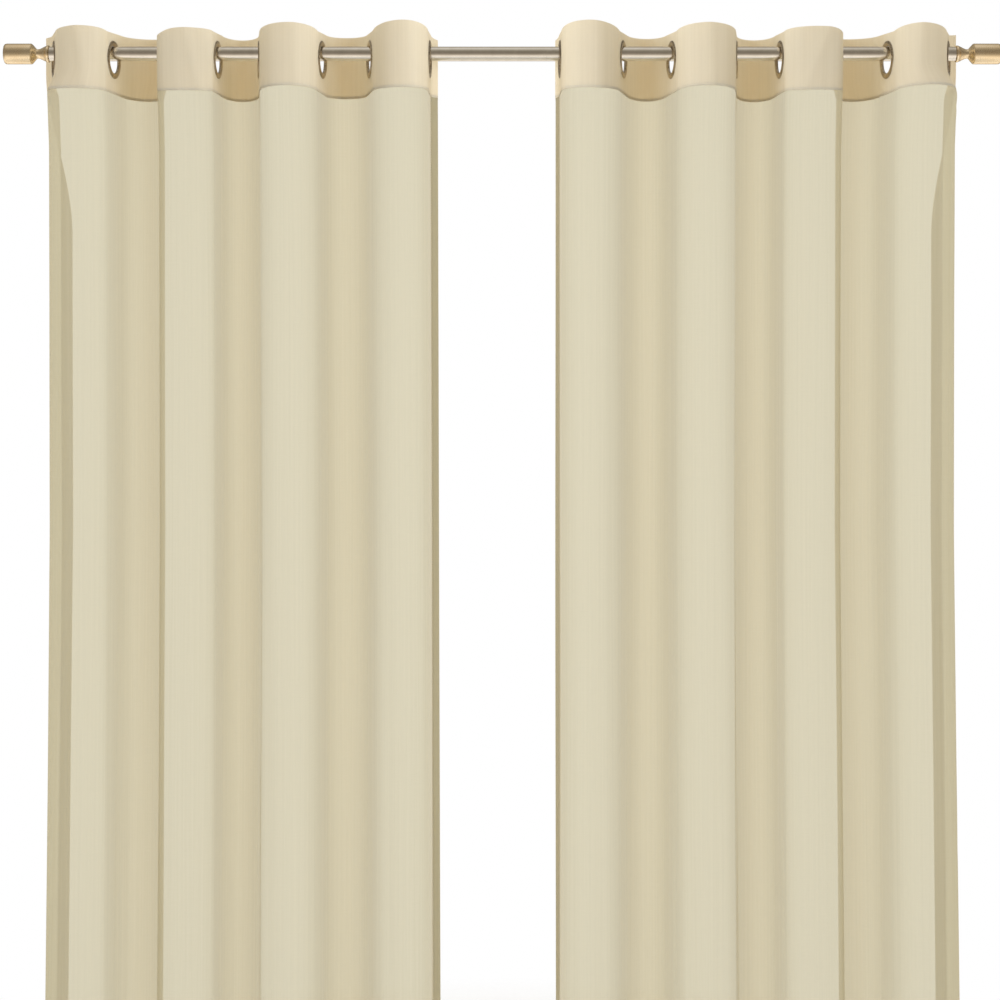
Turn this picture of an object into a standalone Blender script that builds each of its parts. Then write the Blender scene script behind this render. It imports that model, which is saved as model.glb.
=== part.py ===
# A pair of sheer eyelet curtains hung on a rod with barrel finials.
# Metres, +Z up, +X along the rod, +Y towards the wall. The origin is on the rod's axis, half way along it.

import math
from collections import namedtuple

import bmesh
import bpy
from mathutils import Matrix, Vector

GAP = 0.0003  # left between pieces that meet

# Rod and finials
ROD_RADIUS = 0.01125
ROD_LENGTH = 1.413
ROD_STEPS = 24
FINIAL_STEPS = 24
# Finial, from the rod outwards: distance from the rod's end, radius there
FINIAL_PROFILE = (
    (0.0000, 0.0130),
    (0.0036, 0.0130),
    (0.0100, 0.0098),
    (0.0150, 0.0076),
    (0.0185, 0.0072),
    (0.0204, 0.0082),
    (0.0262, 0.0148),
    (0.0274, 0.0159),
    (0.0662, 0.0160),
    (0.0686, 0.0151),
    (0.0695, 0.0130),
)

# Eyelets
EYELET_RADIUS = 0.0295
EYELET_HOLE_RADIUS = 0.021
EYELET_BARREL = 0.0012  # wall of the barrel that passes through the cloth
EYELET_RIM = 0.0011  # thickness of each rim
EYELET_EDGE = 0.0006  # how much the rim's edge is rolled in
EYELET_STEPS = 20

# Cloth
HEADING_THICKNESS = 0.002
HEADING_TOP = 0.0349  # above the rod's axis, at the crest of a fold
HEADING_BOTTOM = -0.0620
TOP_DIP = 0.005  # how much lower the top edge is at an eyelet's front than at the crest of a front fold
DIP_EASE = 0.9  # under 1, so that the top edge turns up soon after an eyelet
BACK_DIP = 0.2  # share of that dip at an eyelet's back
SIDE_DIP = 1.2  # share of that dip at the panel's side edges
DROP_THICKNESS = 0.0012
HEM_THICKNESS = 0.0018
SIDE_HEM = 0.025
FLAT_HALF = 0.031  # the eyelet holds the cloth flat this far each way from its middle
ARC_STEPS = 8  # pieces in each fold's curve
HANDLE_SHARE = 3 / 8  # share of each handle that a cubic curve has risen by half way
MARGIN_STEPS = 3  # pieces in the strip past the outermost eyelets
PUNCH_DEPTH = 0.008  # length of the punch that cuts an eyelet's hole

# An eyelet: place along the rod, how far it sits behind the rod's axis, and its turn in degrees about the
# vertical, 0 square to the rod and positive with its front edge towards +X.
Eyelet = namedtuple("Eyelet", "x y turn")
# A fold between two eyelets: how far its crest stands from the rod's axis (front folds in front of it, back
# folds behind), and how much higher than at the eyelets the cloth stands there.
Fold = namedtuple("Fold", "depth lift")
# The strip past an outermost eyelet: its length, and how far it curls in degrees, positive towards +X.
Margin = namedtuple("Margin", "length curl")
# A point of the cloth seen from above, how much its fold lifts it, and the share of the top's dip there.
ClothPoint = namedtuple("ClothPoint", "place lift dip")
# A panel: its outer edge is on this side of its inner edge, and the inner edge drifts this far towards the
# middle of the rod by the foot.
Panel = namedtuple("Panel", "eyelets folds first last outer_side inner_drift")

LEFT = Panel(
    eyelets=(
        Eyelet(-0.6993, 0.000, 16.9),
        Eyelet(-0.6069, 0.001, -8.4),
        Eyelet(-0.5301, 0.003, -6.0),
        Eyelet(-0.4450, 0.003, -4.6),
        Eyelet(-0.3796, 0.002, 8.1),
        Eyelet(-0.2817, 0.000, -7.5),
        Eyelet(-0.2067, -0.002, 12.0),
        Eyelet(-0.1141, -0.003, -1.7),
    ),
    folds=(
        Fold(0.056, -0.0005),
        Fold(0.075, 0.0000),
        Fold(0.047, -0.0020),
        Fold(0.077, -0.0010),
        Fold(0.066, 0.0025),
        Fold(0.064, 0.0005),
        Fold(0.077, 0.0040),
    ),
    first=Margin(0.027, -37.0),
    last=Margin(0.022, 57.0),
    outer_side=-1,
    inner_drift=0.006,
)
RIGHT = Panel(
    eyelets=(
        Eyelet(0.0904, -0.003, 1.6),
        Eyelet(0.1878, -0.002, -13.7),
        Eyelet(0.2640, 0.000, 9.1),
        Eyelet(0.3647, 0.002, -8.0),
        Eyelet(0.4333, 0.003, 4.6),
        Eyelet(0.5223, 0.003, 6.0),
        Eyelet(0.6004, 0.001, 8.7),
        Eyelet(0.6948, 0.000, -16.9),
    ),
    folds=(
        Fold(0.077, 0.0040),
        Fold(0.069, 0.0000),
        Fold(0.066, 0.0025),
        Fold(0.076, -0.0010),
        Fold(0.050, -0.0005),
        Fold(0.072, 0.0000),
        Fold(0.066, 0.0020),
    ),
    first=Margin(0.020, -29.0),
    last=Margin(0.026, 39.0),
    outer_side=1,
    inner_drift=0.000,
)

# How the drop changes on its way down: height of the row above the rod's axis (the first is the drop's top,
# under the heading), share of each fold's depth left there, how far the outer edge has spread, share of the
# heading's lift, and the weight that the hem's thickness has.
DropRow = namedtuple("DropRow", "z depth spread lift hem")
DROP_ROWS = (
    DropRow(HEADING_BOTTOM - GAP, 1.00, 0.0000, 1.0, 0.0),
    DropRow(-0.150, 0.97, -0.0030, 0.6, 0.0),
    DropRow(-0.390, 0.93, -0.0035, 0.0, 0.0),
    DropRow(-0.740, 0.96, -0.0042, 0.0, 0.0),
    DropRow(-1.110, 0.92, -0.0003, 0.0, 0.0),
    DropRow(-1.520, 0.95, 0.0045, 0.0, 0.0),
    DropRow(-2.038, 0.99, 0.0075, 0.0, 0.0),
    DropRow(-2.042, 0.99, 0.0075, 0.0, 1.0),
    DropRow(-2.098, 1.00, 0.0080, 0.0, 1.0),
)


def clear_scene():
    for obj in list(bpy.data.objects):
        bpy.data.objects.remove(obj, do_unlink=True)


def new_collection(name):
    collection = bpy.data.collections.new(name)
    bpy.context.scene.collection.children.link(collection)
    return collection


def new_material(name, colour, roughness, metallic=0.0):
    material = bpy.data.materials.new(name)
    material.use_nodes = True
    shader = material.node_tree.nodes["Principled BSDF"]
    shader.inputs["Base Color"].default_value = (*colour, 1.0)
    shader.inputs["Roughness"].default_value = roughness
    shader.inputs["Metallic"].default_value = metallic
    return material


def new_object(name, mesh, collection, material=None):
    obj = bpy.data.objects.new(name, mesh)
    collection.objects.link(obj)
    if material:
        mesh.materials.append(material)
    return obj


def polyline_mesh(name, points):
    """An open chain of edges through the points."""
    mesh = bpy.data.meshes.new(name)
    edges = [(i, i + 1) for i in range(len(points) - 1)]
    mesh.from_pydata(points, edges, [])
    return mesh


def shade_round(obj, angle=math.radians(35.0)):
    obj.data.shade_smooth()
    obj.data.set_sharp_from_angle(angle=angle)


def turned(name, profile, steps, collection, material):
    """A solid turned round its local Z axis, from (radius, height) points that run from top to bottom."""
    mesh = polyline_mesh(name, [(radius, 0.0, height) for radius, height in profile])
    obj = new_object(name, mesh, collection, material)
    screw = obj.modifiers.new("Turn", "SCREW")
    screw.steps = steps
    screw.render_steps = steps
    screw.use_merge_vertices = True
    screw.merge_threshold = 0.00001
    screw.use_normal_calculate = False
    screw.use_smooth_shade = False
    return obj


def build_rod(collection, material):
    half = ROD_LENGTH / 2
    profile = ((0.0, half), (ROD_RADIUS, half), (ROD_RADIUS, -half), (0.0, -half))
    rod = turned("rod", profile, ROD_STEPS, collection, material)
    rod.rotation_euler = (0.0, math.pi / 2, 0.0)


def build_finial(name, side, collection, material):
    """A barrel on a neck; its local Z axis points outwards from the rod's end."""
    outwards = [(radius, distance) for distance, radius in reversed(FINIAL_PROFILE)]
    tip = ((0.0, outwards[0][1]),)
    foot = ((0.0, outwards[-1][1]),)
    finial = turned(name, (*tip, *outwards, *foot), FINIAL_STEPS, collection, material)
    finial.location = (side * (ROD_LENGTH / 2 + GAP), 0.0, 0.0)
    finial.rotation_euler = (0.0, side * math.pi / 2, 0.0)


def eyelet_drop(eyelet):
    """How far an eyelet's middle hangs under the rod's axis, its hole resting on the rod."""
    flat_radius = EYELET_HOLE_RADIUS * math.cos(math.pi / EYELET_STEPS)
    play = flat_radius - ROD_RADIUS - GAP
    face = HEADING_THICKNESS / 2 + GAP + EYELET_RIM
    aside = abs(eyelet.y) + face * abs(math.sin(math.radians(eyelet.turn)))
    return math.sqrt(play**2 - aside**2)


def eyelet_matrix(eyelet):
    """Local Z along the eyelet's own axis, which lies along the rod when its turn is 0."""
    place = Matrix.Translation((eyelet.x, eyelet.y, -eyelet_drop(eyelet)))
    turn = Matrix.Rotation(math.radians(eyelet.turn), 4, "Z")
    along_rod = Matrix.Rotation(math.pi / 2, 4, "Y")
    return place @ turn @ along_rod


def eyelet_profile():
    """Two rims joined by a barrel, with the cloth's slot between them, closed on itself."""
    slot = HEADING_THICKNESS / 2 + GAP
    face = slot + EYELET_RIM
    barrel = EYELET_HOLE_RADIUS + EYELET_BARREL
    edge = EYELET_RADIUS - EYELET_EDGE
    return (
        (EYELET_HOLE_RADIUS, face),
        (edge, face),
        (EYELET_RADIUS, slot),
        (barrel, slot),
        (barrel, -slot),
        (EYELET_RADIUS, -slot),
        (edge, -face),
        (EYELET_HOLE_RADIUS, -face),
        (EYELET_HOLE_RADIUS, face),
    )


def build_eyelets(side, panel, collection, material):
    for number, eyelet in enumerate(panel.eyelets, start=1):
        name = f"eyelet_{side}_{number}"
        ring = turned(name, eyelet_profile(), EYELET_STEPS, collection, material)
        ring.matrix_world = eyelet_matrix(eyelet)


def front_direction(turn):
    return Vector((math.sin(math.radians(turn)), -math.cos(math.radians(turn)), 0.0))


def margin_points(start, direction, margin):
    """Points of a strip that leaves start along direction and curls as it goes, start left out."""
    points = []
    step = margin.length / MARGIN_STEPS
    point = start
    for i in range(MARGIN_STEPS):
        angle = -math.radians(margin.curl) * (i + 0.5) / MARGIN_STEPS
        point = point + Matrix.Rotation(angle, 3, "Z") @ direction * step
        points.append(point)
    return points


def fold_points(start, leaving, end, arriving, depth_y):
    """Points of one fold's cubic curve, whose crest lies at depth_y, both ends left out."""
    rise = depth_y - (start.y + end.y) / 2
    handle = rise / (HANDLE_SHARE * (leaving.y - arriving.y))
    first = start + leaving * handle
    second = end - arriving * handle
    points = []
    for i in range(1, ARC_STEPS):
        t = i / ARC_STEPS
        s = 1 - t
        points.append(start * s**3 + first * 3 * s * s * t + second * 3 * s * t * t + end * t**3)
    return points


def margin_path(start, direction, margin):
    """The cloth's points from an outermost eyelet to the side edge."""
    path = []
    for i, place in enumerate(margin_points(start, direction, margin), start=1):
        path.append(ClothPoint(place, 0.0, BACK_DIP + (SIDE_DIP - BACK_DIP) * i / MARGIN_STEPS))
    return path


def cloth_path(panel):
    """The cloth's points from the panel's left edge to its right."""
    path = []
    last = len(panel.eyelets) - 1
    for i, eyelet in enumerate(panel.eyelets):
        to_front = i % 2 == 0
        forwards = front_direction(eyelet.turn)
        direction = forwards if to_front else -forwards
        middle = Vector((eyelet.x, eyelet.y, 0.0))
        start = middle - direction * FLAT_HALF
        end = middle + direction * FLAT_HALF
        if i == 0:
            path += reversed(margin_path(start, -direction, panel.first))
        path.append(ClothPoint(start, 0.0, BACK_DIP if to_front else 1.0))
        path.append(ClothPoint(end, 0.0, 1.0 if to_front else BACK_DIP))
        if i == last:
            path += margin_path(end, direction, panel.last)
            continue
        after = panel.eyelets[i + 1]
        sign = -1 if to_front else 1
        after_direction = front_direction(after.turn) * sign
        after_start = Vector((after.x, after.y, 0.0)) - after_direction * FLAT_HALF
        fold = panel.folds[i]
        curve = fold_points(end, direction, after_start, after_direction, sign * fold.depth)
        for step, place in enumerate(curve, start=1):
            crest = math.sin(math.pi * step / ARC_STEPS)
            dip = (1 - crest**DIP_EASE) * (1.0 if to_front else BACK_DIP)
            path.append(ClothPoint(place, fold.lift * crest, dip))
    return path


def draw_down(bm, verts):
    """Extrudes a row of points and returns the new row, in the same order."""
    edges = [bm.edges.get(pair) for pair in zip(verts, verts[1:])]
    made = bmesh.ops.extrude_edge_only(bm, edges=edges)["geom"]
    new = {tuple(v.co): v for v in made if isinstance(v, bmesh.types.BMVert)}
    return [new[tuple(v.co)] for v in verts]


def sheet_mesh(name, rows):
    """An open sheet drawn down from its first row of points through the others."""
    mesh = polyline_mesh(name, rows[0])
    bm = bmesh.new()
    bm.from_mesh(mesh)
    bm.verts.ensure_lookup_table()
    verts = list(bm.verts)
    for row in rows[1:]:
        verts = draw_down(bm, verts)
        for vert, point in zip(verts, row):
            vert.co = point
    bmesh.ops.recalc_face_normals(bm, faces=bm.faces)
    bm.to_mesh(mesh)
    bm.free()
    return mesh


def give_thickness(obj, thickness):
    solidify = obj.modifiers.new("Thickness", "SOLIDIFY")
    solidify.thickness = thickness
    solidify.offset = 0.0
    solidify.use_even_offset = True
    return solidify


def build_heading(side, panel, collection, cutters, material):
    top = []
    bottom = []
    for place, lift, dip in cloth_path(panel):
        top.append((place.x, place.y, HEADING_TOP + lift - TOP_DIP * dip))
        bottom.append((place.x, place.y, HEADING_BOTTOM + lift))
    name = f"heading_{side}"
    heading = new_object(name, sheet_mesh(name, (top, bottom)), collection, material)
    give_thickness(heading, HEADING_THICKNESS)
    for number, eyelet in enumerate(panel.eyelets, start=1):
        radius = EYELET_HOLE_RADIUS + EYELET_BARREL + GAP / math.cos(math.pi / EYELET_STEPS)
        bpy.ops.mesh.primitive_cylinder_add(
            vertices=EYELET_STEPS, radius=radius, depth=PUNCH_DEPTH
        )
        cutter = bpy.context.object
        cutter.name = f"punch_{side}_{number}"
        cutter.matrix_world = eyelet_matrix(eyelet)
        cutter.hide_render = True
        cutter.display_type = "WIRE"
        for held_by in list(cutter.users_collection):
            held_by.objects.unlink(cutter)
        cutters.objects.link(cutter)
        punch = heading.modifiers.new(f"Eyelet hole {number}", "BOOLEAN")
        punch.operation = "DIFFERENCE"
        punch.object = cutter


def path_length(points):
    return sum((b - a).length for a, b in zip(points, points[1:]))


def side_hem_columns(points):
    """The numbers of the columns that lie within the side hems."""
    whole = path_length(points)
    found = []
    for i in range(len(points)):
        along = path_length(points[: i + 1])
        if min(along, whole - along) <= SIDE_HEM:
            found.append(i)
    return found


def build_drop(side, panel, collection, material):
    path = cloth_path(panel)
    places = [point.place for point in path]
    inner = min((place.x for place in places), key=abs)
    outer = max((place.x for place in places), key=abs)
    foot = DROP_ROWS[-1].z
    rows = []
    for row in DROP_ROWS:
        points = []
        drift = panel.inner_drift * row.z / foot
        for place, lift, dip in path:
            share = (place.x - inner) / (outer - inner)
            aside = panel.outer_side * (row.spread * share - drift * (1 - share))
            points.append((place.x + aside, place.y * row.depth, row.z + lift * row.lift))
        rows.append(points)
    name = f"drop_{side}"
    drop = new_object(name, sheet_mesh(name, rows), collection, material)
    hem = drop.vertex_groups.new(name="hem")
    columns = len(path)
    side_hems = side_hem_columns(places)
    for number, row in enumerate(DROP_ROWS):
        for column in range(columns):
            weight = 1.0 if column in side_hems else row.hem
            hem.add([number * columns + column], weight, "REPLACE")
    solidify = give_thickness(drop, HEM_THICKNESS)
    solidify.vertex_group = hem.name
    solidify.thickness_vertex_group = DROP_THICKNESS / HEM_THICKNESS


def main():
    clear_scene()
    parts = new_collection("Sheer eyelet curtain pair")
    cutters = new_collection("Cutters")
    voile = new_material("Voile", (0.68, 0.62, 0.46), 0.85)
    double_voile = new_material("Double voile", (0.74, 0.66, 0.50), 0.85)
    nickel = new_material("Satin nickel", (0.62, 0.56, 0.47), 0.28, 1.0)
    champagne = new_material("Champagne nickel", (0.66, 0.56, 0.40), 0.25, 1.0)
    bronze = new_material("Aged nickel", (0.30, 0.25, 0.18), 0.35, 1.0)
    build_rod(parts, nickel)
    build_finial("finial_left", -1, parts, champagne)
    build_finial("finial_right", 1, parts, champagne)
    for side, panel in (("left", LEFT), ("right", RIGHT)):
        build_heading(side, panel, parts, cutters, double_voile)
        build_drop(side, panel, parts, voile)
        build_eyelets(side, panel, parts, bronze)
    bpy.context.view_layer.update()
    for obj in parts.objects:
        if obj.name.startswith(("rod", "finial", "eyelet")):
            shade_round(obj)


main()
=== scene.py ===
import bisect
import math

import bmesh
import bpy
from mathutils import Matrix, Vector


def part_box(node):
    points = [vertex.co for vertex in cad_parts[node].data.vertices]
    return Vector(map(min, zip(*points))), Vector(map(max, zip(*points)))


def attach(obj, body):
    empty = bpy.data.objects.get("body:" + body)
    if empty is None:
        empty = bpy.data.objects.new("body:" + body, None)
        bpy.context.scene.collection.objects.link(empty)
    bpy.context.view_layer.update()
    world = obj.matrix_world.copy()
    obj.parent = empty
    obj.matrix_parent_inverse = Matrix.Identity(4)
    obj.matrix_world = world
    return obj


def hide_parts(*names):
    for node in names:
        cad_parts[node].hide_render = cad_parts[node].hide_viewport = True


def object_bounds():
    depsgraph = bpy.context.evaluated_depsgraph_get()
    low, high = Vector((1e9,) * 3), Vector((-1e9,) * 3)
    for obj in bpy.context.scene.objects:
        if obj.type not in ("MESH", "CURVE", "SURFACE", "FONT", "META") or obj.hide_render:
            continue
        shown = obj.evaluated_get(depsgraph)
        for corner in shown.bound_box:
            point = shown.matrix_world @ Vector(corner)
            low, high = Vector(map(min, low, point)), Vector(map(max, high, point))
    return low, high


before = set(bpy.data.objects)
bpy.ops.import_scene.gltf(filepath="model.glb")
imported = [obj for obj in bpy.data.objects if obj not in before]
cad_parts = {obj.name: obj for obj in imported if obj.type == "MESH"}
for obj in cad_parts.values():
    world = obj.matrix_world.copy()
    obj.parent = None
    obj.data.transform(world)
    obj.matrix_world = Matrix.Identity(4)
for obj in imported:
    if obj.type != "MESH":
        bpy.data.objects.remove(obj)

# metres, Z up, X along the rod, Y towards the wall, origin half way along the rod's axis
cadLow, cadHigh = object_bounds()
print("Loaded", len(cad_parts), "solids")


# Camera

cameraSetup = {
    "place": (-0.0039, -3.0, -0.50),
    "lens": 69.23,
    "shiftY": -0.1255,  # the photo is cut well above the foot
}


def addCamera():
    bpy.ops.object.camera_add(location=cameraSetup["place"], rotation=(math.pi / 2, 0, 0))
    camera = bpy.context.object
    camera.name = "photoCamera"
    camera.data.lens = cameraSetup["lens"]
    camera.data.shift_y = cameraSetup["shiftY"]
    bpy.context.scene.camera = camera


# Node helpers

def addNode(tree, kind, values=None, **settings):
    node = tree.nodes.new(kind)
    for name, value in settings.items():
        setattr(node, name, value)
    for name, value in (values or {}).items():
        node.inputs[name].default_value = value
    return node


def newMaterial(name):
    material = bpy.data.materials.new(name)
    material.use_nodes = True
    material.node_tree.nodes.clear()
    return material, material.node_tree


def addRamp(tree, factor, stops):
    # stops are (position, colour)
    ramp = tree.nodes.new("ShaderNodeValToRGB")
    elements = ramp.color_ramp.elements
    while len(elements) < len(stops):
        elements.new(0.5)
    for element, (position, colour) in zip(elements, stops):
        element.position = position
        element.color = (*colour, 1)
    tree.links.new(factor, ramp.inputs["Fac"])
    return ramp.outputs["Color"]


def addRange(tree, factor, fromLow, fromHigh, toLow, toHigh):
    node = tree.nodes.new("ShaderNodeMapRange")
    for socket, value in (
        ("From Min", fromLow),
        ("From Max", fromHigh),
        ("To Min", toLow),
        ("To Max", toHigh),
    ):
        node.inputs[socket].default_value = value
    tree.links.new(factor, node.inputs["Value"])
    return node.outputs["Result"]


def addStreaks(tree, coordinates, size, detail=2.0, seed=0.0):
    # noise drawn out to streaks, size is their rough width and length in metres
    mapping = tree.nodes.new("ShaderNodeMapping")
    mapping.inputs["Scale"].default_value = tuple(1 / step for step in size)
    mapping.inputs["Location"].default_value = (seed, seed * 0.7, seed * 0.3)
    tree.links.new(coordinates, mapping.inputs["Vector"])
    noise = tree.nodes.new("ShaderNodeTexNoise")
    noise.inputs["Scale"].default_value = 1.0
    noise.inputs["Detail"].default_value = detail
    tree.links.new(mapping.outputs["Vector"], noise.inputs["Vector"])
    return noise.outputs["Fac"]


def addMath(tree, operation, first, second):
    node = tree.nodes.new("ShaderNodeMath")
    node.operation = operation
    for socket, value in zip(node.inputs, (first, second)):
        if isinstance(value, (int, float)):
            socket.default_value = value
        else:
            tree.links.new(value, socket)
    return node.outputs["Value"]


# World and lights

studioSetup = {
    "backdrop": 1.0,
    # fill light from the room's side round to the wall's side
    "fill": [
        (0.00, (0.60, 0.63, 0.68)),
        (0.35, (1.00, 1.05, 1.12)),
        (0.56, (1.30, 1.31, 1.32)),
        (0.80, (0.98, 0.78, 0.44)),
        (1.00, (0.90, 0.62, 0.25)),
    ],
    # what metal mirrors, from straight down to straight up
    "mirrored": [
        (0.00, (0.90, 0.84, 0.75)),
        (0.07, (1.25, 1.17, 1.05)),
        (0.16, (1.15, 1.06, 0.94)),
        (0.24, (0.84, 0.76, 0.65)),
        (0.34, (0.50, 0.44, 0.36)),
        (0.46, (0.30, 0.26, 0.20)),
        (0.68, (0.22, 0.19, 0.15)),
        (0.84, (0.30, 0.27, 0.21)),
        (0.94, (0.48, 0.44, 0.37)),
        (1.00, (0.76, 0.72, 0.65)),
    ],
    # two soft keys a panel, from the room's middle side: degrees round from the front, power, colour
    "keys": {
        "heading": (46, 49, (0.90, 0.93, 1.0)),
        "drop": (14, 31, (0.96, 0.985, 1.0)),
    },
    "keyDistance": 2.6,
    "keyHeight": -0.45,
    "keySize": (1.2, 2.0),
}


def addWorld():
    world = bpy.data.worlds.new("studio")
    bpy.context.scene.world = world
    world.use_nodes = True
    tree = world.node_tree
    tree.nodes.clear()
    link = tree.links.new
    path = addNode(tree, "ShaderNodeLightPath")
    backdrop = addNode(tree, "ShaderNodeBackground", {"Strength": studioSetup["backdrop"]})
    backdrop.inputs["Color"].default_value = (1, 1, 1, 1)
    fill = addNode(tree, "ShaderNodeBackground")
    mirrored = addNode(tree, "ShaderNodeBackground")
    direction = addNode(tree, "ShaderNodeTexCoord")
    parts = addNode(tree, "ShaderNodeSeparateXYZ")
    link(direction.outputs["Generated"], parts.inputs["Vector"])
    wallwards = addRange(tree, parts.outputs["Y"], -1, 1, 0, 1)
    link(addRamp(tree, wallwards, studioSetup["fill"]), fill.inputs["Color"])
    height = addRange(tree, parts.outputs["Z"], -1, 1, 0, 1)
    link(addRamp(tree, height, studioSetup["mirrored"]), mirrored.inputs["Color"])
    forMetal = addNode(tree, "ShaderNodeMixShader")
    link(path.outputs["Is Glossy Ray"], forMetal.inputs[0])
    link(fill.outputs["Background"], forMetal.inputs[1])
    link(mirrored.outputs["Background"], forMetal.inputs[2])
    forCamera = addNode(tree, "ShaderNodeMixShader")
    link(path.outputs["Is Camera Ray"], forCamera.inputs[0])
    link(forMetal.outputs["Shader"], forCamera.inputs[1])
    link(backdrop.outputs["Background"], forCamera.inputs[2])
    output = addNode(tree, "ShaderNodeOutputWorld")
    link(forCamera.outputs["Shader"], output.inputs["Surface"])
    bpy.context.scene.view_settings.view_transform = "Standard"


def addKeyLight(side, part, middle, pieces):
    # middle is the panel's middle along the rod; the light stands off towards the rod's middle
    sign = -1 if middle > 0 else 1
    degrees, power, colour = studioSetup["keys"][part]
    angle = math.radians(degrees)
    reach = studioSetup["keyDistance"]
    place = (middle + sign * reach * math.sin(angle), -reach * math.cos(angle), studioSetup["keyHeight"])
    bpy.ops.object.light_add(type="AREA", location=place, rotation=(math.pi / 2, 0, sign * angle))
    light = bpy.context.object
    light.name = f"{part}Key_{side}"
    light.data.shape = "RECTANGLE"
    light.data.size, light.data.size_y = studioSetup["keySize"]
    light.data.energy = power
    light.data.color = colour
    light.visible_glossy = False
    light.visible_camera = False
    lit = bpy.data.collections.new(f"{part}LitByKey_{side}")
    for piece in pieces:
        lit.objects.link(piece)
    light.light_linking.receiver_collection = lit


# Floor

floorSetup = {
    "radius": 2.2,
    "below": 0.012,  # under the curtain's foot
    "clearRadius": 1.1,  # solid as far as this, then it fades into the backdrop
    "colour": (0.86, 0.85, 0.83),
}


def addFloor():
    bpy.ops.object.select_all(action="DESELECT")
    bpy.ops.mesh.primitive_circle_add(
        vertices=96,
        radius=floorSetup["radius"],
        fill_type="NGON",
        location=(0, 0, cadLow.z - floorSetup["below"]),
    )
    floor = bpy.context.object
    floor.name = "floor"
    bpy.ops.object.transform_apply(location=True, rotation=True, scale=True)
    material, tree = newMaterial("paleFloor")
    link = tree.links.new
    place = addNode(tree, "ShaderNodeTexCoord")
    flat = addNode(tree, "ShaderNodeVectorMath", operation="MULTIPLY")
    flat.inputs[1].default_value = (1, 1, 0)
    link(place.outputs["Object"], flat.inputs[0])
    reach = addNode(tree, "ShaderNodeVectorMath", operation="LENGTH")
    link(flat.outputs["Vector"], reach.inputs[0])
    gone = floorSetup["radius"] * 0.97
    fade = addRange(tree, reach.outputs["Value"], floorSetup["clearRadius"], gone, 0, 1)
    paint = addNode(tree, "ShaderNodeBsdfPrincipled", {"Roughness": 0.6})
    grain = addStreaks(tree, place.outputs["Object"], (0.03, 0.03, 0.03))
    low = tuple(0.96 * part for part in floorSetup["colour"])
    link(addRamp(tree, grain, [(0.3, low), (0.7, floorSetup["colour"])]), paint.inputs["Base Color"])
    clear = addNode(tree, "ShaderNodeBsdfTransparent")
    mix = addNode(tree, "ShaderNodeMixShader")
    link(fade, mix.inputs[0])
    link(paint.outputs["BSDF"], mix.inputs[1])
    link(clear.outputs["BSDF"], mix.inputs[2])
    output = addNode(tree, "ShaderNodeOutputMaterial")
    link(mix.outputs["Shader"], output.inputs["Surface"])
    floor.data.materials.append(material)


# Cloth finish

voileLook = {
    "name": "champagneVoile",
    "slub": [(0.30, (0.590, 0.545, 0.405)), (0.70, (0.615, 0.570, 0.430))],
    "opacity": (0.70, 0.76),
    "clear": (1.0, 0.96, 0.78),  # light that passes between the threads
    "glow": 0.34,  # share of light that comes through the threads
    "weave": 0.00012,
}
headingLook = {
    "name": "doubledVoile",
    "slub": [(0.30, (0.828, 0.770, 0.628)), (0.70, (0.848, 0.790, 0.653))],
    "opacity": (0.95, 1.0),
    "clear": (1.0, 0.94, 0.80),
    "glow": 0.58,
    "weave": 0.00015,
}
threadLook = {
    "name": "sewingThread",
    "slub": [(0.30, (0.72, 0.65, 0.50)), (0.70, (0.82, 0.76, 0.62))],
    "opacity": (0.97, 1.0),
    "clear": (1.0, 0.94, 0.84),
    "glow": 0.15,
    "weave": 0.00003,
}
weaveSizes = {
    "warp": (0.0005, 0.030, 1.0),
    "weft": (0.030, 0.0005, 1.0),
    "slub": (0.0035, 0.35, 1.0),
    "thick": (0.012, 1.2, 1.0),
}


def clothMaterial(look):
    material, tree = newMaterial(look["name"])
    link = tree.links.new
    flat = addNode(tree, "ShaderNodeTexCoord").outputs["UV"]
    warp = addStreaks(tree, flat, weaveSizes["warp"])
    weft = addStreaks(tree, flat, weaveSizes["weft"], seed=3.1)
    threads = addMath(tree, "MULTIPLY", addMath(tree, "ADD", warp, weft), 0.5)
    slub = addStreaks(tree, flat, weaveSizes["slub"], seed=5.7)
    thick = addStreaks(tree, flat, weaveSizes["thick"], seed=9.2)
    tone = addMath(tree, "MULTIPLY", addMath(tree, "ADD", slub, thick), 0.5)
    colour = addRamp(tree, tone, look["slub"])
    density = addMath(tree, "MULTIPLY", addMath(tree, "ADD", threads, tone), 0.5)
    opacity = addRange(tree, density, 0.38, 0.62, *look["opacity"])
    bump = addNode(tree, "ShaderNodeBump", {"Strength": 0.5, "Distance": look["weave"]})
    link(threads, bump.inputs["Height"])
    threadFace = addNode(tree, "ShaderNodeBsdfPrincipled", {"Roughness": 0.8, "Sheen Weight": 0.25})
    threadFace.inputs["Sheen Roughness"].default_value = 0.4
    threadFace.inputs["Specular IOR Level"].default_value = 0.25
    link(colour, threadFace.inputs["Base Color"])
    link(bump.outputs["Normal"], threadFace.inputs["Normal"])
    glow = addNode(tree, "ShaderNodeBsdfTranslucent")
    link(colour, glow.inputs["Color"])
    cloth = addNode(tree, "ShaderNodeMixShader", {0: look["glow"]})
    link(threadFace.outputs["BSDF"], cloth.inputs[1])
    link(glow.outputs["BSDF"], cloth.inputs[2])
    gaps = addNode(tree, "ShaderNodeBsdfTransparent")
    gaps.inputs["Color"].default_value = (*look["clear"], 1)
    sheer = addNode(tree, "ShaderNodeMixShader")
    link(opacity, sheer.inputs[0])
    link(gaps.outputs["BSDF"], sheer.inputs[1])
    link(cloth.outputs["Shader"], sheer.inputs[2])
    output = addNode(tree, "ShaderNodeOutputMaterial")
    link(sheer.outputs["Shader"], output.inputs["Surface"])
    return material


# Metal finish

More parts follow.
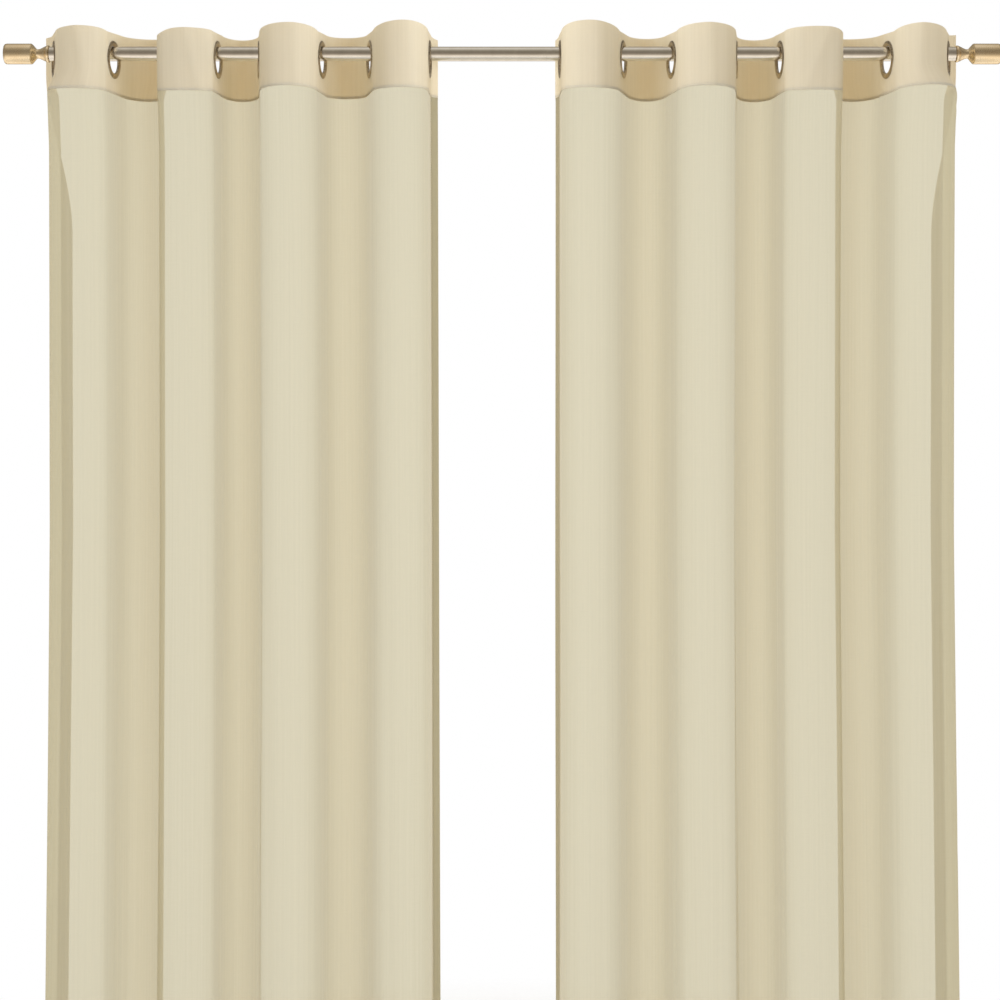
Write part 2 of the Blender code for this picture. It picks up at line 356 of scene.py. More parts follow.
rodLook = {
    "name": "satinNickel",
    "tones": [(0.35, (0.74, 0.70, 0.64)), (0.65, (0.80, 0.76, 0.70))],
    "roughness": (0.13, 0.20),
    "grain": (0.0006, 0.004, 0.004),
}
finialLook = {
    "name": "champagneNickel",
    "tones": [(0.35, (0.85, 0.68, 0.45)), (0.65, (0.89, 0.74, 0.52))],
    "roughness": (0.20, 0.30),
    "grain": (0.0005, 0.004, 0.004),
}
eyeletLook = {
    "name": "agedNickel",
    "tones": [(0.35, (0.38, 0.32, 0.24)), (0.65, (0.56, 0.49, 0.38))],
    "roughness": (0.22, 0.38),
    "grain": (0.0020, 0.0020, 0.0020),
}


def metalMaterial(look):
    material, tree = newMaterial(look["name"])
    link = tree.links.new
    place = addNode(tree, "ShaderNodeTexCoord").outputs["Object"]
    grain = addStreaks(tree, place, look["grain"])
    cloud = addStreaks(tree, place, (0.018, 0.018, 0.018), seed=2.3)
    metal = addNode(tree, "ShaderNodeBsdfPrincipled", {"Metallic": 1.0})
    link(addRamp(tree, cloud, look["tones"]), metal.inputs["Base Color"])
    link(addRange(tree, grain, 0.3, 0.7, *look["roughness"]), metal.inputs["Roughness"])
    bump = addNode(tree, "ShaderNodeBump", {"Strength": 0.25, "Distance": 0.00003})
    link(grain, bump.inputs["Height"])
    link(bump.outputs["Normal"], metal.inputs["Normal"])
    output = addNode(tree, "ShaderNodeOutputMaterial")
    link(metal.outputs["BSDF"], output.inputs["Surface"])
    return material


# Turned metal pieces

def arc(centre, radius, startAngle, endAngle, steps):
    # (radius, height) points round a centre, angles in degrees from the outward direction
    points = []
    for i in range(steps + 1):
        angle = math.radians(startAngle + (endAngle - startAngle) * i / steps)
        points.append((centre[0] + radius * math.cos(angle), centre[1] + radius * math.sin(angle)))
    return points


def turnPiece(name, profile, steps, closedRing=False):
    # one ring is drawn on from point to point of the profile, round Z
    bpy.ops.object.select_all(action="DESELECT")
    radius, height = profile[0]
    bpy.ops.mesh.primitive_circle_add(vertices=steps, radius=radius, location=(0, 0, height))
    piece = bpy.context.object
    piece.name = name
    piece.data.name = name
    bpy.ops.object.transform_apply(location=True, rotation=False, scale=False)
    bpy.ops.object.mode_set(mode="EDIT")
    bpy.ops.mesh.select_all(action="SELECT")
    if not closedRing:
        bpy.ops.mesh.edge_face_add()
    for nextRadius, nextHeight in profile[1:]:
        bpy.ops.mesh.extrude_region_move(TRANSFORM_OT_translate={"value": (0, 0, nextHeight - height)})
        scale = nextRadius / radius
        bpy.ops.transform.resize(value=(scale, scale, 1), center_override=(0, 0, nextHeight))
        radius, height = nextRadius, nextHeight
    bpy.ops.mesh.select_all(action="SELECT")
    bpy.ops.mesh.remove_doubles(threshold=0.00001)
    bpy.ops.mesh.normals_make_consistent(inside=False)
    bpy.ops.object.mode_set(mode="OBJECT")
    bpy.ops.object.shade_smooth_by_angle(angle=math.radians(40))
    return piece


def placePiece(piece, matrix):
    bpy.ops.object.select_all(action="DESELECT")
    piece.select_set(True)
    bpy.context.view_layer.objects.active = piece
    piece.matrix_world = matrix
    bpy.ops.object.transform_apply(location=True, rotation=True, scale=True)


def finishPiece(piece, material, slot, *nodes):
    piece.data.materials.clear()
    piece.data.materials.append(material)
    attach(piece, "root")
    if nodes:
        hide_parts(*nodes)


# Rod

rodSetup = {
    "radius": 0.01125,
    "endRound": 0.0008,
    "steps": 64,
}


def addRod(material):
    low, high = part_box("rod")
    half = (high.x - low.x) / 2
    radius, bend = rodSetup["radius"], rodSetup["endRound"]
    profile = [(radius * 0.5, half)]
    profile += reversed(arc((radius - bend, half - bend), bend, 0, 90, 4))
    profile += reversed(arc((radius - bend, bend - half), bend, -90, 0, 4))
    profile.append((radius * 0.5, -half))
    rod = turnPiece("curtainRod", profile, rodSetup["steps"])
    placePiece(rod, Matrix.Rotation(math.pi / 2, 4, "Y"))
    finishPiece(rod, material, "rod_metal", "rod")


# Finials

finialSetup = {
    # distance from the rod's end, radius, as turned
    "collar": (0.0036, 0.0130),
    "neck": [(0.0080, 0.0108), (0.0110, 0.0092), (0.0140, 0.0079), (0.0165, 0.0073), (0.0185, 0.0072)],
    "shoulder": [(0.0200, 0.0080), (0.0231, 0.0116), (0.0260, 0.0147), (0.0268, 0.0155)],
    "barrel": (0.0276, 0.0660, 0.0160),
    "cap": [(0.0676, 0.0156), (0.0689, 0.0147), (0.0695, 0.0130)],
    "edge": 0.0005,
    "steps": 64,
}


def addFinial(side, sign, material):
    low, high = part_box(f"finial_{side}")
    foot = low.x if sign > 0 else -high.x  # distance of the rod's end from the middle
    collarEnd, collarRadius = finialSetup["collar"]
    edge = finialSetup["edge"]
    start, end, radius = finialSetup["barrel"]
    profile = [(0.006, 0.0)]
    profile += arc((collarRadius - edge, edge), edge, -90, 0, 3)
    profile += arc((collarRadius - edge, collarEnd - edge), edge, 0, 70, 3)
    profile += [(r, d) for d, r in finialSetup["neck"]]
    profile += [(r, d) for d, r in finialSetup["shoulder"]]
    profile += arc((radius - edge, start + edge), edge, -40, 0, 3)
    profile += arc((radius - edge, end - edge), edge, 0, 50, 3)
    profile += [(r, d) for d, r in finialSetup["cap"]]
    profile += [(0.006, finialSetup["cap"][-1][0])]
    finial = turnPiece(f"finialTurned_{side}", profile, finialSetup["steps"])
    turn = Matrix.Rotation(sign * math.pi / 2, 4, "Y")
    placePiece(finial, Matrix.Translation((sign * foot, 0, 0)) @ turn)
    finishPiece(finial, material, "finial_metal", f"finial_{side}")


# Cloth, as it hangs from the eyelets

panels = {
    "left": {
        "turns": [16.9, -8.4, -6.0, -4.6, 8.1, -7.5, 12.0, -1.7],  # each eyelet's turn, degrees
        # depth from the rod's axis, lift of the crest at the heading's top and at its lower edge
        "folds": [
            (0.056, -0.0005, 0.0010),
            (0.075, 0.0000, -0.0018),
            (0.047, -0.0020, -0.0012),
            (0.077, -0.0010, -0.0018),
            (0.066, 0.0025, 0.0040),
            (0.064, 0.0005, 0.0008),
            (0.077, 0.0040, -0.0007),
        ],
        # the strip past the outermost eyelets: length, curl in degrees
        "first": (0.027, -37.0),
        "last": (0.022, 57.0),
        "edgeDips": {"first": 0.4, "last": 1.2},  # dip of the top edge at the end of each strip
        "outerSide": -1,
        "innerDrift": 0.006,
        # how the cloth hangs once the heading has let go: the curl of the strip past the outermost
        # eyelet, and the shift and turn of the stretches under some eyelets
        "loose": {
            "outermost": 1,
            "margin": ("first", 60.0),
            "stretches": {1: (-0.0016, -3.0), 3: (-0.0042, 2.0)},
        },
    },
    "right": {
        "turns": [1.6, -13.7, 9.1, -8.0, 4.6, 6.0, 8.7, -16.9],
        "folds": [
            (0.077, 0.0040, -0.0010),
            (0.069, 0.0000, -0.0023),
            (0.066, 0.0025, 0.0040),
            (0.076, -0.0010, -0.0022),
            (0.050, -0.0005, -0.0005),
            (0.072, 0.0000, -0.0023),
            (0.066, 0.0020, 0.0050),
        ],
        "first": (0.020, -29.0),
        "last": (0.026, 39.0),
        "edgeDips": {"first": 1.2, "last": -0.6},
        "outerSide": 1,
        "innerDrift": 0.000,
        "loose": {
            "outermost": 8,
            "margin": ("last", -60.0),
            "stretches": {8: (0.0036, 3.0), 6: (0.0043, -2.0)},
        },
    },
}
wayFlat = 0.031  # the eyelet holds the cloth flat this far each way
waySteps = {"flat": 12, "fold": 40, "margin": 10}
topDip = {"front": 1.0, "back": 0.2, "ease": 0.9}
noLift = Vector((0, 0))  # at the heading's top and at its lower edge


def eyeletCentre(side, number):
    low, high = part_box(f"eyelet_{side}_{number}")
    return (low + high) / 2


def frontDirection(turn):
    return Vector((math.sin(math.radians(turn)), -math.cos(math.radians(turn)), 0))


def marginWay(start, direction, panel, end):
    length, curl = panel[end]
    steps = waySteps["margin"]
    point = start
    found = []
    for i in range(steps):
        angle = -math.radians(curl) * (i + 0.5) / steps
        point = point + Matrix.Rotation(angle, 3, "Z") @ direction * length / steps
        dip = topDip["back"] + (panel["edgeDips"][end] - topDip["back"]) * (i + 1) / steps
        found.append((point, noLift, dip))
    return found


def foldWay(start, leaving, end, arriving, depthY, lift, dipShare):
    # a cubic curve whose crest lies at depthY
    rise = depthY - (start.y + end.y) / 2
    handle = rise / (3 / 8 * (leaving.y - arriving.y))
    first = start + leaving * handle
    second = end - arriving * handle
    steps = waySteps["fold"]
    found = []
    for i in range(1, steps):
        t = i / steps
        s = 1 - t
        point = start * s**3 + first * 3 * s * s * t + second * 3 * s * t * t + end * t**3
        crest = math.sin(math.pi * t)
        found.append((point, lift * crest, (1 - crest ** topDip["ease"]) * dipShare))
    return found


def wayPoints(side, loose):
    # the cloth seen from above, left to right: point, lift at the heading's top and at its lower edge,
    # dip of the top edge
    panel = dict(panels[side])
    turns = list(panel["turns"])
    centres = [eyeletCentre(side, number) for number in range(1, len(turns) + 1)]
    if loose:
        for number, (shift, turn) in panel["loose"]["stretches"].items():
            centres[number - 1].x += shift
            turns[number - 1] = turn
        margin, curl = panel["loose"]["margin"]
        panel[margin] = (panel[margin][0], curl)
    found = []
    holes = []
    for i, (centre, turn) in enumerate(zip(centres, turns)):
        toFront = i % 2 == 0
        direction = frontDirection(turn) * (1 if toFront else -1)
        middle = Vector((centre.x, centre.y, 0))
        start = middle - direction * wayFlat
        if i == 0:
            found += reversed(marginWay(start, -direction, panel, "first"))
        dips = (topDip["back"], topDip["front"]) if toFront else (topDip["front"], topDip["back"])
        for k in range(waySteps["flat"] + 1):
            share = k / waySteps["flat"]
            point = start + direction * 2 * wayFlat * share
            found.append((point, noLift, dips[0] + (dips[1] - dips[0]) * share))
            if k == waySteps["flat"] // 2:
                holes.append(len(found) - 1)
        end = middle + direction * wayFlat
        if i == len(centres) - 1:
            found += marginWay(end, direction, panel, "last")
            continue
        sign = -1 if toFront else 1
        arriving = frontDirection(turns[i + 1]) * sign
        after = Vector((centres[i + 1].x, centres[i + 1].y, 0)) - arriving * wayFlat
        depth, *lifts = panel["folds"][i]
        dipShare = topDip["front"] if toFront else topDip["back"]
        found += foldWay(end, direction, after, arriving, sign * depth, Vector(lifts), dipShare)
    return found, [(k, centre.z) for k, centre in zip(holes, centres)]


def panelWay(side):
    found, holes = wayPoints(side, False)
    lengths = [0.0]
    for (a, _, _), (b, _, _) in zip(found, found[1:]):
        lengths.append(lengths[-1] + (b - a).length)
    xs = [point.x for point, _, _ in found]
    way = {
        "lengths": lengths,
        "points": found,
        "loose": [point for point, _, _ in wayPoints(side, True)[0]],
        "width": lengths[-1],
        "holes": [(lengths[k], z) for k, z in holes],
        "inner": min(xs, key=abs),
        "outer": max(xs, key=abs),
    }
    return way


def readWay(way, s, loose=0.0):
    # point, direction along the cloth, lift and dip at the running length s
    lengths, points = way["lengths"], way["points"]
    k = min(max(bisect.bisect_right(lengths, s) - 1, 0), len(lengths) - 2)
    share = (s - lengths[k]) / (lengths[k + 1] - lengths[k])
    first, last = max(k - 1, 0), min(k + 2, len(points) - 1)
    near = [points[i][0].lerp(way["loose"][i], loose) for i in (first, k, k + 1, last)]
    along = (near[2] - near[1]).normalized()
    if last - first == 3:
        before = (near[1] - near[0]).normalized()
        after = (near[3] - near[2]).normalized()
        along = (along * 2 + before * (1 - share) + after * share).normalized()
    (_, liftA, dipA), (_, liftB, dipB) = points[k], points[k + 1]
    held = min(max(share, 0), 1)
    lift = liftA + (liftB - liftA) * held
    dip = dipA + (dipB - dipA) * held
    return near[1].lerp(near[2], share), along, lift, dip


def ease(value):
    value = min(max(value, 0), 1)
    return value * value * (3 - 2 * value)


looseSetup = {
    # height under which the cloth lets go of the heading's line, and over what height:
    # in front of the outermost eyelet, behind it, and in the strip past it
    "front": (-0.024, 0.045),
    "back": (-0.032, 0.036),
    "strip": (-0.020, 0.260),
    "blend": 0.020,  # along the cloth, either side of the eyelet's middle
    "stripBlend": 0.012,  # from where the eyelet's flat stretch ends
}


def looseShare(side, way, s, z):
    number = panels[side]["loose"]["outermost"]
    ahead = (s - way["holes"][number - 1][0]) * (1 if number == 1 else -1)
    inFront = ease(0.5 + ahead / looseSetup["blend"] / 2)
    inStrip = ease((-ahead - wayFlat) / looseSetup["stripBlend"])
    frontFree, backFree, stripFree = (
        ease((looseSetup[part][0] - z) / looseSetup[part][1]) for part in ("front", "back", "strip")
    )
    backFree += (stripFree - backFree) * inStrip
    return backFree + (frontFree - backFree) * inFront


# Heading

headingSetup = {
    "top": 0.0349,
    "bottom": -0.0620,
    "dip": 0.005,
    "dipFade": 2.2,  # the dip is gone at 1 / 2.2 of the height
    "half": 0.0005,  # from the band's middle to the middle of each layer
    "turnUnder": 0.004,
    "spacing": 0.003,
    "topRows": 5,
    "hole": 0.0245,
    "calm": (0.030, 0.042),  # creases fade out towards an eyelet between these distances
}
# soft ridges and troughs: along the cloth at the top, at the bottom, half width, rise towards the wall
headingCreases = {
    "left": [
        (0.137, 0.155, 0.010, -0.0020),
        (0.496, 0.519, 0.010, -0.0018),
        (0.856, 0.862, 0.011, -0.0015),
        (1.216, 1.222, 0.012, -0.0011),
    ],
    "right": [
        (0.160, 0.163, 0.012, -0.0013),
        (0.519, 0.522, 0.010, -0.0017),
        (0.896, 0.856, 0.010, -0.0018),
        (1.233, 1.221, 0.010, -0.0019),
    ],
}
# where the top edge is rounder: place along the cloth, half width, how much lower
softCorners = {
    "left": (0.446, 0.020, 0.0075),
    "right": (0.939, 0.020, 0.0075),
}


def headingRows():
    # (share of the height from the top, distance behind the band's middle, rise)
    # from the back layer's raw edge over the top to the front's
    height = headingSetup["top"] - headingSetup["bottom"]
    steps = round(height / headingSetup["spacing"])
    half = headingSetup["half"]
    turnUnder = headingSetup["turnUnder"] / height
    inside = half * 0.45
    bend = (half * 0.75, -half * 0.3)  # the lower edge, half way round
    hemSteps = 3
    rows = []
    for i in range(hemSteps):
        rows.append((1 - turnUnder * (hemSteps - i) / hemSteps, inside, 0))
    rows.append((1.0, bend[0], bend[1]))
    for i in range(steps):
        rows.append((1 - i / steps, half, 0))
    for i in range(headingSetup["topRows"] + 1):
        angle = math.pi * i / headingSetup["topRows"]
        rows.append((0.0, half * math.cos(angle), half * math.sin(angle)))
    for i in range(1, steps + 1):
        rows.append((i / steps, -half, 0))
    rows.append((1.0, -bend[0], bend[1]))
    for i in range(1, hemSteps + 1):
        rows.append((1 - turnUnder * i / hemSteps, -inside, 0))
    return rows


def creaseHeight(creases, s, share):
    height = 0.0
    for sTop, sFoot, width, rise in creases:
        reach = (s - (sTop + (sFoot - sTop) * share)) / width
        if abs(reach) < 3:
            height += rise * math.exp(-reach * reach)
    return height


def headingPoint(side, way, s, z, out):
    # out is the distance behind the band's middle; z is between the top and the bottom of an even band
    top, bottom = headingSetup["top"], headingSetup["bottom"]
    point, along, lift, dip = readWay(way, s, looseShare(side, way, s, z))
    share = (top - z) / (top - bottom)
    near = min(math.hypot(s - holeS, z - holeZ) for holeS, holeZ in way["holes"])
    calmStart, calmEnd = headingSetup["calm"]
    free = ease((near - calmStart) / (calmEnd - calmStart))
    ripple = creaseHeight(headingCreases[side], s, share) * free
    behind = Vector((-along.y, along.x, 0))
    place = point + behind * (out + ripple)
    corner, reach, drop = softCorners[side]
    lower = headingSetup["dip"] * dip + drop * math.exp(-(((s - corner) / reach) ** 2))
    topLift, footLift = lift
    place.z = z + topLift + (footLift - topLift) * share
    place.z -= lower * max(1 - share * headingSetup["dipFade"], 0)
    return place


def makeGrid(name, columns, rows):
    bpy.ops.object.select_all(action="DESELECT")
    bpy.ops.mesh.primitive_grid_add(x_subdivisions=columns - 1, y_subdivisions=rows - 1, size=2)
    piece = bpy.context.object
    piece.name = name
    piece.data.name = name
    return piece


def layUv(mesh, flat):
    # flat holds each point's place on the cut cloth, in metres
    layer = mesh.uv_layers.active or mesh.uv_layers.new(name="flat")
    for loop in mesh.loops:
        layer.data[loop.index].uv = flat[loop.vertex_index]


def addHeading(side, way, material):
    rows = headingRows()
    width = way["width"]
    columnCount = round(width / headingSetup["spacing"]) + 1
    top, bottom = headingSetup["top"], headingSetup["bottom"]
    piece = makeGrid(f"headingBand_{side}", columnCount, len(rows))
    mesh = piece.data
    flat = []
    places = []
    travelled = 0.0
    rowTravel = []
    for number, (share, _, _) in enumerate(rows):
        if number:
            travelled += abs(share - rows[number - 1][0]) * (top - bottom)
        rowTravel.append(travelled)
    for row, (share, out, rise) in enumerate(rows):
        z = top - share * (top - bottom)
        for column in range(columnCount):
            s = width * column / (columnCount - 1)
            flat.append((s, rowTravel[row]))
            places.append((s, z, out, rise))
    layUv(mesh, flat)
    hole = headingSetup["hole"]
    inHole = []
    for vert, (s, z, out, rise) in zip(mesh.vertices, places):
        near = min(math.hypot(s - holeS, z - holeZ) for holeS, holeZ in way["holes"])
        if near < hole - headingSetup["spacing"] * 0.5:
            inHole.append(vert.index)
        place = headingPoint(side, way, s, z, out)
        place.z += rise
        vert.co = place
    bm = bmesh.new()
    bm.from_mesh(mesh)
    bm.verts.ensure_lookup_table()
    source = bm.verts.layers.int.new("source")
    for vert in bm.verts:
        vert[source] = vert.index
    bmesh.ops.delete(bm, geom=[bm.verts[k] for k in inHole], context="VERTS")
    for vert in bm.verts:
        if not vert.is_boundary:
            continue
        s, z, out, _ = places[vert[source]]
        holeS, holeZ = min(way["holes"], key=lambda at: math.hypot(s - at[0], z - at[1]))
        reach = math.hypot(s - holeS, z - holeZ)
        if reach < hole + 3 * headingSetup["spacing"]:
            edgeS = holeS + (s - holeS) * hole / reach
            edgeZ = holeZ + (z - holeZ) * hole / reach
            vert.co = headingPoint(side, way, edgeS, edgeZ, out)
    bm.verts.layers.int.remove(source)
    bm.normal_update()
    bm.to_mesh(mesh)
    bm.free()
    mesh.shade_smooth()
    finishPiece(piece, material, "heading_voile", f"heading_{side}")
    return piece


# Drop

dropSetup = {
    "top": -0.0583,  # tucked up between the heading's layers
    "foot": -2.098,
    "sideHem": 0.025,
    "footHem": 0.060,
    "turnUnder": 0.015,
    "layer": 0.00025,
    "grip": (0.002, 0.010, 0.3),  # where the heading lets go, over what height, how far layers part in it
    "rippleGrowth": (0.3, 1.4),  # share of a ripple's rise at the top, and what the foot adds
    "rippleSway": 1.7,
    "gatherReach": 0.045,
    "spacing": 0.004,
    "rowSpacing": (0.0045, 0.0135, 0.25),  # near the heading, lower down, over what height it widens
}
# height, share of the folds' depth, spread of the outer edge, share of the heading's lift
dropRows = [
    (-0.0623, 1.00, 0.0000, 1.0),
    (-0.150, 0.97, -0.0030, 0.6),
    (-0.390, 0.93, -0.0035, 0.0),
    (-0.740, 0.96, -0.0042, 0.0),
    (-1.110, 0.92, -0.0003, 0.0),
    (-1.520, 0.95, 0.0045, 0.0),
    (-2.038, 0.99, 0.0075, 0.0),
    (-2.098, 1.00, 0.0080, 0.0),
]
# soft troughs and ridges: along the cloth and height at the upper end, the same at the lower end,
# half width, rise towards the wall
dropCreases = {
    "left": [
        (0.134, -1.100, 0.112, -1.200, 0.0040, -0.0016),
        (0.128, -1.120, 0.103, -1.260, 0.0060, 0.0014),
        (0.098, -0.064, 0.112, -0.100, 0.0030, 0.0009),
        (0.108, -0.064, 0.104, -0.110, 0.0025, -0.0010),
        (0.118, -0.064, 0.108, -0.095, 0.0030, 0.0008),
    ],
    "right": [
        (1.251, -1.085, 1.276, -1.200, 0.0040, -0.0015),
        (1.262, -1.120, 1.284, -1.250, 0.0060, 0.0013),
        (1.290, -0.064, 1.276, -0.105, 0.0030, 0.0009),
        (1.281, -0.064, 1.286, -0.115, 0.0025, -0.0010),
        (1.271, -0.064, 1.280, -0.095, 0.0030, 0.0008),
    ],
}
ripples = [
    # length of the wave along the cloth, its rise, how far it wanders, phase
    (0.0230, 0.00022, 0.9, 0.3),
    (0.0410, 0.00035, 1.6, 2.1),
    (0.0730, 0.00050, 2.4, 4.4),
]
gathers = [
    (0.0092, 0.00012, 0.4),
    (0.0137, 0.00020, 1.9),
    (0.0221, 0.00025, 5.2),
]


def readDropRows(z):
    if z >= dropRows[0][0]:
        return dropRows[0][1:]
    for upper, lower in zip(dropRows, dropRows[1:]):
        if z >= lower[0]:
            share = (upper[0] - z) / (upper[0] - lower[0])
            return tuple(a + (b - a) * share for a, b in zip(upper[1:], lower[1:]))
    return dropRows[-1][1:]


def dropRipple(side, s, z):
    down = dropRows[0][0] - z
    depth = down / (dropRows[0][0] - dropRows[-1][0])
    start, growth = dropSetup["rippleGrowth"]
    rise = 0.0
    for length, height, wander, phase in ripples:
        bend = wander * math.sin(dropSetup["rippleSway"] * z + phase)
        rise += height * (start + growth * depth) * math.sin(2 * math.pi * s / length + bend + phase)
    fade = math.exp(-max(down, 0) / dropSetup["gatherReach"])
    for length, height, phase in gathers:
        rise += height * fade * math.sin(2 * math.pi * s / length + phase)
    for sUp, zUp, sDown, zDown, width, height in dropCreases[side]:
        if zDown < z < zUp:
            share = (zUp - z) / (zUp - zDown)
            reach = (s - (sUp + (sDown - sUp) * share)) / width
            if abs(reach) < 3:
                rise += height * math.sin(math.pi * share) * math.exp(-reach * reach)
    return rise


def dropPoint(side, way, s, z, out):
    panel = panels[side]
    point, along, lift, dip = readWay(way, s, looseShare(side, way, s, z))
    depth, spread, liftShare = readDropRows(z)
    share = (point.x - way["inner"]) / (way["outer"] - way["inner"])
    drift = panel["innerDrift"] * z / dropRows[-1][0]
    aside = panel["outerSide"] * (spread * share - drift * (1 - share))
    behind = Vector((-along.y, along.x, 0))
    letGo, overHeight, parted = dropSetup["grip"]
    free = ease((dropRows[0][0] + letGo - z) / overHeight)  # pressed flat where the heading grips it
    gripped = (out - dropSetup["layer"]) * parted
    place = Vector((point.x + aside, point.y * depth, z + lift.y * liftShare))
    return place + behind * (gripped + (out - gripped) * free + free * dropRipple(side, s, z))


def dropColumns(width):
    # (running length, layer) from the raw edge of one side hem to the raw edge of the other
    hem, spacing = dropSetup["sideHem"], dropSetup["spacing"]
    steps = 6
    outward = [(hem * (i + 0.25) / (steps + 0.25), 1) for i in range(steps + 1)]
    inward = [(hem * (steps - i) / steps, 2) for i in range(steps)]
    hemColumns = outward + [(hem + 0.0003, 1.5)] + inward + [(-0.0003, 1)]
    faceSteps = round(width / spacing)
    face = [(width * i / faceSteps, 0) for i in range(faceSteps + 1)]
    mirrored = [(width - s, layer) for s, layer in reversed(hemColumns)]
    return hemColumns + face + mirrored


def dropHeights():
    # (height, layer) from the top down to the foot, then up and under for the hem
    z = dropSetup["top"]
    foot = dropSetup["foot"]
    near, far, widening = dropSetup["rowSpacing"]
    face = []
    while z > foot + far * 0.7:
        face.append((z, 0))
        z -= near + (far - near) * ease((dropSetup["top"] - z) / widening)
    face.append((foot, 0))
    steps = 6
    hem = dropSetup["footHem"]
    up = [(foot + hem * i / steps, 2) for i in range(1, steps + 1)]
    under = [(foot + hem - dropSetup["turnUnder"] * i / 3, 1) for i in range(4)]
    return face + [(foot - 0.0003, 1)] + [(foot, 2)] + up + [(foot + hem + 0.0003, 1.5)] + under


def runningLengths(values):
    total = 0.0
    found = [0.0]
    for a, b in zip(values, values[1:]):
        total += abs(b - a)
        found.append(total)
    return found


def addDrop(side, way, material):
    columns = dropColumns(way["width"])
    rows = dropHeights()
    piece = makeGrid(f"voileDrop_{side}", len(columns), len(rows))
    mesh = piece.data
    across = runningLengths([s for s, _ in columns])
    down = runningLengths([z for z, _ in rows])
    flat = []
    k = 0
    for row, (z, rowLayer) in enumerate(rows):
        for column, (s, columnLayer) in enumerate(columns):
            out = dropSetup["layer"] * (columnLayer + 3 * rowLayer)
            mesh.vertices[k].co = dropPoint(side, way, s, z, out)
            flat.append((across[column], down[row]))
            k += 1
    layUv(mesh, flat)
    mesh.shade_smooth()
    finishPiece(piece, material, "voile", f"drop_{side}")
    print("Drop", side, "cut", round(across[-1], 3), "x", round(down[-1], 3), "m")
    return piece


# Eyelets

eyeletSetup = {
    "hole": 0.021,
    "rim": 0.0295,
    "wall": 0.0012,
    "face": 0.0025,  # from the cloth's middle to the top of the dome
    "cloth": 0.0007,
    "steps": 48,
}


def makeEyelet():
    # barrel, domed rim and rolled edge of one half, then the other half as its mirror
    hole, rim, face, cloth = (eyeletSetup[name] for name in ("hole", "rim", "face", "cloth"))
    wide = (rim - hole) / 2
    middle = (rim + hole) / 2
    dome = []
    for i in range(11):
        angle = math.pi * (1 - i / 10)
        dome.append((middle + wide * math.cos(angle), cloth + (face - cloth) * math.sin(angle) ** 0.8))
    half = [(hole, 0.0)] + dome
    lip = [(rim - 0.0005, cloth), (hole + eyeletSetup["wall"], cloth), (hole + eyeletSetup["wall"], 0.0)]
    front = half + lip
    back = [(radius, -height) for radius, height in reversed(front[1:-1])]
    profile = front + back + [front[0]]
    return turnPiece("eyeletPattern", profile, eyeletSetup["steps"], closedRing=True)


def addEyelets(side, pattern, material):
    for number, turn in enumerate(panels[side]["turns"], start=1):
        bpy.ops.object.select_all(action="DESELECT")
        pattern.select_set(True)
        bpy.context.view_layer.objects.active = pattern
        bpy.ops.object.duplicate()
        eyelet = bpy.context.object
        eyelet.name = f"eyeletRing_{side}_{number}"
        eyelet.data.name = eyelet.name
        place = Matrix.Translation(eyeletCentre(side, number))
        turned = Matrix.Rotation(math.radians(turn), 4, "Z") @ Matrix.Rotation(math.pi / 2, 4, "Y")
        placePiece(eyelet, place @ turned)
        finishPiece(eyelet, material, "eyelet_metal", f"eyelet_{side}_{number}")


# Stitching

stitchSetup = {
    "pitch": 0.0040,
    "length": 0.0030,
    "thick": 0.00040,
    "headingLine": 0.0030,  # above the heading's lower edge
    "hemLine": 0.0015,  # inside a hem's inner fold
}


def makeStitch():
    bpy.ops.object.select_all(action="DESELECT")
    bpy.ops.mesh.primitive_ico_sphere_add(subdivisions=1, radius=0.5)
    stitch = bpy.context.object
    stitch.name = "stitchPattern"
    thick = stitchSetup["thick"]
    stitch.scale = (stitchSetup["length"], thick, thick)
    bpy.ops.object.transform_apply(location=False, rotation=False, scale=True)
    return stitch


def sewLine(sewn, pattern, spot, length):
    # spot(d) gives a place on the cloth at the distance d along the line
    points, faces = sewn
    count = int(length / stitchSetup["pitch"])
    for i in range(count):
        middle = (i + 0.5) * length / count
        a = spot(middle - stitchSetup["length"] / 2)
        b = spot(middle + stitchSetup["length"] / 2)
        turn = (b - a).to_track_quat("X", "Z").to_matrix()
        known = len(points)
        points.extend((a + b) / 2 + turn @ vert.co for vert in pattern.data.vertices)
        faces.extend([known + k for k in face.vertices] for face in pattern.data.polygons)


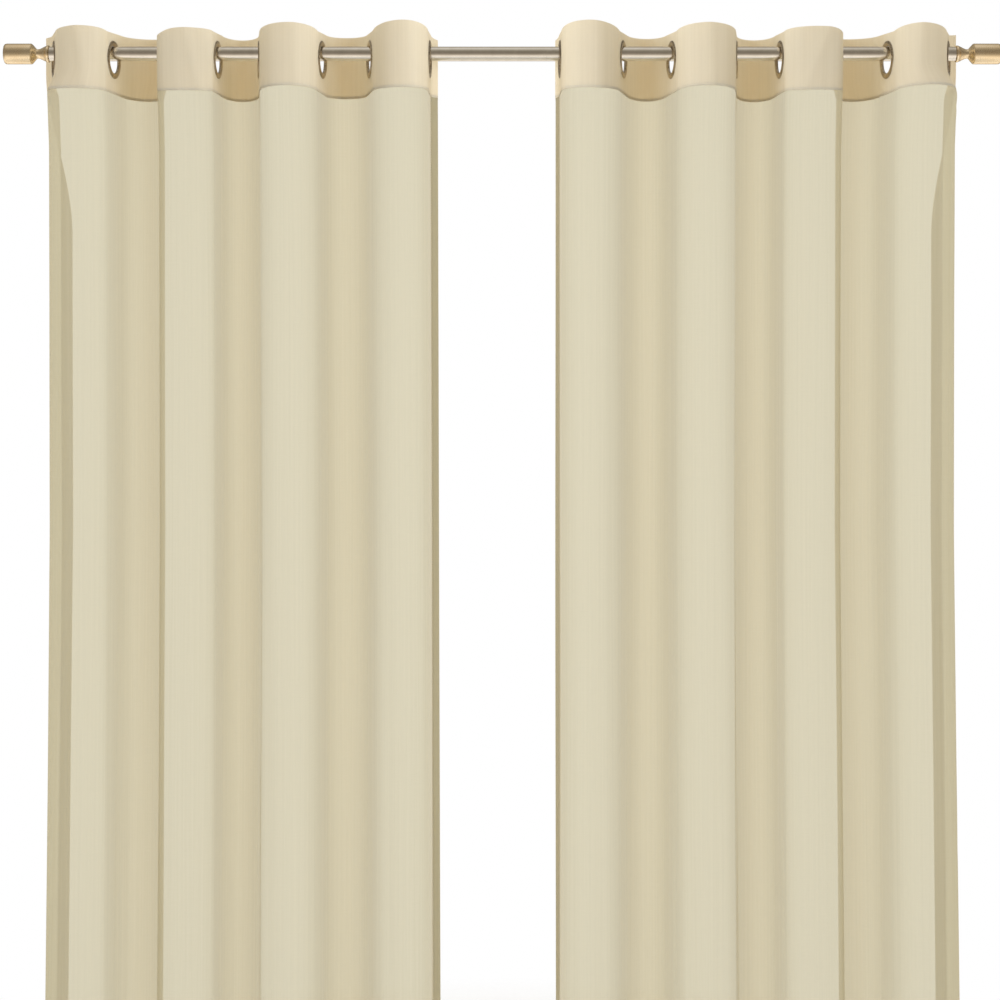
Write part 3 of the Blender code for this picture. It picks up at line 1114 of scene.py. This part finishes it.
def addStitching(side, way, pattern, material):
    sewn = ([], [])
    width = way["width"]
    out = headingSetup["half"] + stitchSetup["thick"] * 0.25
    z = headingSetup["bottom"] + stitchSetup["headingLine"]
    for sign in (-1, 1):
        sewLine(sewn, pattern, lambda d: headingPoint(side, way, d, z, sign * out), width)
    hem = dropSetup["sideHem"] - stitchSetup["hemLine"]
    front = -stitchSetup["thick"] * 0.25
    back = 2 * dropSetup["layer"] - front
    top = dropRows[0][0] - 0.004
    length = top - dropSetup["foot"] - dropSetup["footHem"] * 0.1
    for s in (hem, width - hem):
        for level in (front, back):
            sewLine(sewn, pattern, lambda d: dropPoint(side, way, s, top - d, level), length)
    line = dropSetup["foot"] + dropSetup["footHem"] - stitchSetup["hemLine"]
    for level in (front, 6 * dropSetup["layer"] - front):
        sewLine(sewn, pattern, lambda d: dropPoint(side, way, d, line, level), width)
    mesh = bpy.data.meshes.new(f"stitching_{side}")
    mesh.from_pydata(sewn[0], [], sewn[1])
    piece = bpy.data.objects.new(f"stitching_{side}", mesh)
    bpy.context.scene.collection.objects.link(piece)
    mesh.shade_smooth()
    finishPiece(piece, material, "heading_voile")
    print("Stitching", side, len(mesh.polygons), "faces")
    return piece


addCamera()
addWorld()
addFloor()
print("Camera, lights and floor are in place")

rodMetal = metalMaterial(rodLook)
finialMetal = metalMaterial(finialLook)
eyeletMetal = metalMaterial(eyeletLook)
addRod(rodMetal)
addFinial("left", -1, finialMetal)
addFinial("right", 1, finialMetal)
print("Rod and finials are turned")

voile = clothMaterial(voileLook)
doubled = clothMaterial(headingLook)
thread = clothMaterial(threadLook)
eyeletPattern = makeEyelet()
stitchPattern = makeStitch()
for side in ("left", "right"):
    way = panelWay(side)
    heading = addHeading(side, way, doubled)
    drop = addDrop(side, way, voile)
    stitching = addStitching(side, way, stitchPattern, thread)
    addEyelets(side, eyeletPattern, eyeletMetal)
    middle = (way["inner"] + way["outer"]) / 2
    addKeyLight(side, "heading", middle, [heading, stitching])
    addKeyLight(side, "drop", middle, [drop])
bpy.data.objects.remove(eyeletPattern, do_unlink=True)
bpy.data.objects.remove(stitchPattern, do_unlink=True)
print("Both panels hang from their eyelets")
